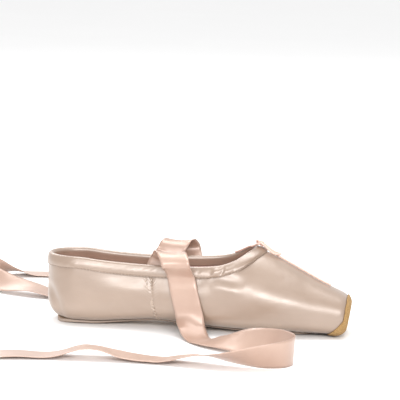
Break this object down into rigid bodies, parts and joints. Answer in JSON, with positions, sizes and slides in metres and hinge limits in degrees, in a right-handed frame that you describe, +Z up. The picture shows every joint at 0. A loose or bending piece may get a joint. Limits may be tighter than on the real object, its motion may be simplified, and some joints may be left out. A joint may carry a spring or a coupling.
{
  "type": "pointe shoe",
  "caption": "Satin pointe shoe with a hollow upper, thin arched leather sole, suede platform patch, drawstring collar casing and ankle ribbons laid down on the floor.",
  "frame": {"origin": "on the floor plane under the centre of the heel, on the shoe's centre plane; the heel's flat spot of the sole is at z = 0", "axes": "+X along the shoe towards the toe, +Z up; +Y is the shoe's own left side, the far side in the picture"},
  "size_m": [0.3352, 0.3465, 0.0733],
  "materials": {
    "pink_satin": "pale pink satin, glossy weave",
    "ribbon_satin": "peach pink satin ribbon",
    "sole_leather": "pale buffed leather",
    "tan_suede": "tan suede with a short nap",
    "lining_cloth": "matt cotton",
    "drawstring_cotton": "woven cotton cord"
  },
  "bodies": {
    "root": {"upper": "pink_satin", "outsole": "sole_leather", "insole": "lining_cloth", "platform_patch": "tan_suede", "collar_casing": "pink_satin", "drawstring_knot": "drawstring_cotton", "drawstring_long_end": "drawstring_cotton", "drawstring_loop": "drawstring_cotton", "drawstring_short_end": "drawstring_cotton", "ribbon_near": "ribbon_satin", "ribbon_far": "ribbon_satin"}
  },
  "joints": []
}
